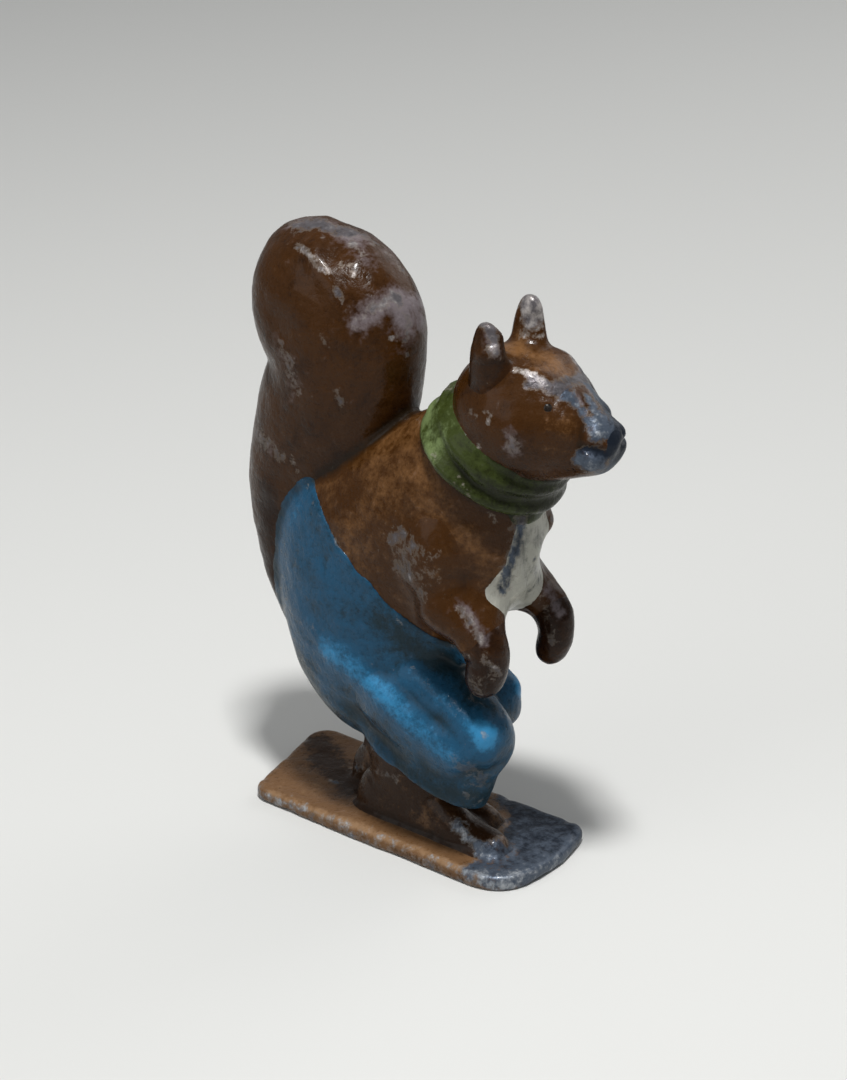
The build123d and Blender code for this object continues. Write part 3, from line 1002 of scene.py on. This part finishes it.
def enamel(name, paints, dirt, lead=grey_lead, mottling=1.0, grain=1.0, streak=even):
    """Old hand-brushed enamel on a lead casting: mottled, dirty in the hollows and worn to the metal."""
    p = Painter(name)
    noises = {
        kind: p.noise(*looks, stretch=streak if kind == "mottle" else even)
        for kind, looks in enamel_noises.items()
    }

    # The paint itself, from dark to light, with the painted shade and highlights that the tone look
    # carries
    dark, middle, light = paints
    shade = p.uneven(p.look("tone_and_shading"), noises, scaled_by(patch_weights, mottling))
    shade = p.uneven(shade, noises, scaled_by(grain_weights, grain))
    paint = p.mix(p.fade(shade, middle_span), dark, middle)
    paint = p.mix(p.fade(shade, light_span), paint, light)

    # Thin places and painted sheen, dirt in the hollows, and dark specks
    rubbed_and_sheen = p.uneven(p.look("thin_and_sheen"), noises, rubbed_and_sheen_weights)
    paint = p.mix(p.fade(rubbed_and_sheen, rubbed_and_sheen_span, rubbed_and_sheen_share), paint, thin_paint_and_sheen_colour)
    soiled = p.uneven(p.look("grime"), noises, soil_weights)
    paint = p.mix(p.fade(soiled, soil_span, soil_share), paint, dirt)
    paint = p.mix(p.fade(noises["specks"], speck_span, speck_share), paint, dirt)

    # Wear down to the metal, patchy and with a pale broken rim
    lost = p.uneven(p.look("worn"), noises, lost_weights)
    bare = p.fade(lost, bare_span)
    rim = p.sum(p.fade(lost, rim_rise_span, rim_share), p.fade(lost, rim_fall_span, -rim_share))
    gleam = p.uneven(p.look("bright"), noises, gleam_weights)
    metal = p.mix(p.fade(gleam, grey_span), lead[0], lead[1])
    metal = p.mix(p.fade(gleam, bright_span), metal, lead[2])
    colour = p.mix(bare, paint, metal)
    p.link(p.mix(rim, colour, chip_rim), "Base Color")

    # Gloss: brushed enamel is shiny, dirt and bare lead are duller
    rough = p.fade(noises["mottle"], gloss_span, brushed_roughness, smooth_roughness)
    rough = p.sum(rough, p.times(bare, bare_roughness))
    rough = p.sum(rough, p.times(p.look("grime"), soil_roughness))
    p.link(rough, "Roughness")
    p.link(p.times(bare, bare_metal_share), "Metallic")
    p.shader.inputs["Specular IOR Level"].default_value = enamel_specular
    p.shader.inputs["Coat Weight"].default_value = coat_weight
    p.shader.inputs["Coat Roughness"].default_value = coat_roughness

    # Relief: the bare places lie lower than the paint, and everything is a little rough
    height = p.uneven(p.times(bare, bare_relief), noises, relief_weights)
    bump = {"Strength": relief_strength, "Distance": relief_height * mm, "Height": height}
    p.link(put(p.tree, "Bump", bump).outputs["Normal"], "Normal")
    return p.material


# The eyes' paint: its noise as for enamel, its colours, and where it is dull or shiny
eye_grain = (0.25, 4.0, 0.55)
eye_dark = (0.004, 0.003, 0.003)
eye_light = (0.020, 0.014, 0.010)
eye_colour_span = (-0.2, 0.25)
eye_gloss_span = (-0.3, 0.3)
eye_smooth_roughness = 0.20
eye_brushed_roughness = 0.36
eye_specular = 0.2


def eye_paint(name):
    """Glossy dark paint with a little unevenness."""
    p = Painter(name)
    grain = p.noise(*eye_grain)
    p.link(p.mix(p.fade(grain, eye_colour_span), eye_dark, eye_light), "Base Color")
    p.link(p.fade(grain, eye_gloss_span, eye_brushed_roughness, eye_smooth_roughness), "Roughness")
    p.shader.inputs["Specular IOR Level"].default_value = eye_specular
    return p.material


# Each paint from dark to light, and the dirt on it
brown_paint = ((0.015, 0.0048, 0.0008), (0.042, 0.0150, 0.0024), (0.165, 0.078, 0.028))
brown_dirt = (0.008, 0.005, 0.002)
base_paint = ((0.026, 0.011, 0.004), (0.14, 0.074, 0.034), (0.25, 0.15, 0.08))
blue_paint = ((0.009, 0.024, 0.034), (0.012, 0.066, 0.130), (0.034, 0.205, 0.395))
blue_dirt = (0.008, 0.012, 0.013)
green_paint = ((0.010, 0.012, 0.002), (0.032, 0.043, 0.009), (0.135, 0.18, 0.07))
green_dirt = (0.005, 0.006, 0.0015)
white_paint = ((0.10, 0.105, 0.10), (0.36, 0.355, 0.31), (0.60, 0.58, 0.50))
white_dirt = (0.030, 0.040, 0.028)

# The shirt's mottling runs downwards
down_streaks = (1.6, 1.6, 0.35)
materials = {
    "base_enamel": enamel("base_enamel", base_paint, brown_dirt, lead=blue_lead, mottling=0.8),
    "brown_enamel": enamel("brown_enamel", brown_paint, brown_dirt, mottling=0.60, grain=0.65),
    "worn_enamel": enamel("worn_enamel", brown_paint, brown_dirt, lead=blue_lead, mottling=0.7),
    "blue_enamel": enamel("blue_enamel", blue_paint, blue_dirt, lead=blue_lead, mottling=0.52),
    "green_enamel": enamel("green_enamel", green_paint, green_dirt, mottling=0.9),
    "white_enamel": enamel("white_enamel", white_paint, white_dirt, lead=blue_lead, streak=down_streaks),
    "eye_enamel": eye_paint("eye_enamel"),
}

# Which paint each piece has, brown where nothing else is said
slot_of = {"base_plate": "base_enamel", "shirt_front": "white_enamel", "scarf": "green_enamel"}
slot_of.update({name: "base_enamel" for name in feet})
slot_of.update({name: "blue_enamel" for name in ("trouser_seat",) + legs})
slot_of.update({name: "worn_enamel" for name in ("muzzle", "lower_jaw", "nose")})
slot_of.update({name: "eye_enamel" for name in eyes})
for name in names:
    slot = slot_of.get(name, "brown_enamel")
    piece = add_piece(name)
    piece.data.materials.append(materials[slot])

# Floor, light and camera
scene = bpy.context.scene
scene.view_settings.view_transform = "Standard"
floor_half = 3000.0
floor_colour = (0.64, 0.64, 0.62, 1.0)
floor_roughness = 0.8
sky_colour = (0.96, 0.98, 1.0, 1.0)
sky_strength = 0.28
lamps = {
    "key": ((-85.0, -75.0, 420.0), 45.0, 1.7),
    "fill": ((-420.0, 160.0, 260.0), 300.0, 0.4),
    "side": ((420.0, -40.0, 260.0), 300.0, 0.4),
}
clip_near = 10.0
clip_far = 20000.0

floor_mesh = bpy.data.meshes.new("floor")
floor_signs = ((-1, -1), (1, -1), (1, 1), (-1, 1))
floor_corners = [(x * floor_half * mm, y * floor_half * mm, 0) for x, y in floor_signs]
floor_mesh.from_pydata(floor_corners, [], [(0, 1, 2, 3)])
floor = bpy.data.objects.new("floor", floor_mesh)
scene.collection.objects.link(floor)
floor_material = bpy.data.materials.new("floor")
floor_material.use_nodes = True
floor_shader = floor_material.node_tree.nodes["Principled BSDF"]
floor_shader.inputs["Base Color"].default_value = floor_colour
floor_shader.inputs["Roughness"].default_value = floor_roughness
floor_mesh.materials.append(floor_material)

world = bpy.data.worlds.new("studio")
world.use_nodes = True
sky = world.node_tree.nodes["Background"]
sky.inputs["Color"].default_value = sky_colour
sky.inputs["Strength"].default_value = sky_strength
scene.world = world


def area_light(name, place, size, power):
    """A square lamp that faces the figure."""
    lamp = bpy.data.lights.new(name, "AREA")
    lamp.size = size * mm
    lamp.energy = power
    thing = bpy.data.objects.new(name, lamp)
    thing.location = Vector(place) * mm
    aim = Vector(camera_target) * mm - thing.location
    thing.rotation_euler = aim.to_track_quat("-Z", "Y").to_euler()
    scene.collection.objects.link(thing)


for name, (place, size, power) in lamps.items():
    area_light(name, place, size, power)

camera_data = bpy.data.cameras.new("camera")
camera_data.sensor_width = sensor_size
camera_data.lens = photo_focal * sensor_size / photo_height
camera_data.clip_start = clip_near * mm
camera_data.clip_end = clip_far * mm
camera = bpy.data.objects.new("camera", camera_data)
facing = Matrix((camera_right, camera_up, camera_back)).transposed().to_4x4()
camera.matrix_world = Matrix.Translation(Vector(camera_place) * mm) @ facing
scene.collection.objects.link(camera)
scene.camera = camera
